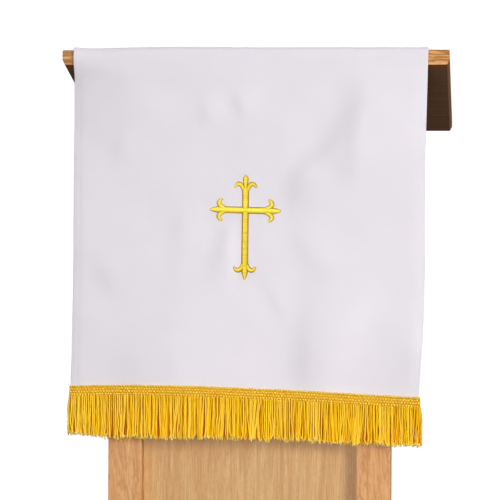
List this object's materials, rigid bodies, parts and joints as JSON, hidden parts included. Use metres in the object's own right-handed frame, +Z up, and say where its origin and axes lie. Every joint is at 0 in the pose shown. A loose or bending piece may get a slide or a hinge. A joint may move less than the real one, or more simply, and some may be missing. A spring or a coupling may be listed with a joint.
{
  "type": "pulpit scarf on a lectern",
  "caption": "White cloth scarf with an embroidered gold cross and a gold fringe, laid over the high edge of a plain sloping wooden lectern.",
  "frame": {"origin": "middle of the underside of the base board, on the floor", "axes": "+Z up, -Y towards the viewer, the side that the scarf hangs on, +X to the viewer's right"},
  "size_m": [0.573, 0.42, 1.1635],
  "materials": {
    "wood": "satin lacquered light hardwood, darker under the desk board",
    "white_cloth": "matte fine weave with narrow hems",
    "gold_embroidery": "shiny satin stitch",
    "gold_fringe": "shiny twisted rayon braid and strands"
  },
  "bodies": {
    "root": {"base_board": "wood", "desk_board": "wood", "front_left_post": "wood", "front_right_post": "wood", "rear_left_post": "wood", "rear_right_post": "wood", "front_panel": "wood", "rear_panel": "wood", "left_panel": "wood", "right_panel": "wood", "scarf_cloth": "white_cloth", "cross_embroidery": "gold_embroidery", "fringe_heading": "gold_fringe", "fringe_skirt": "gold_fringe"}
  },
  "joints": []
}
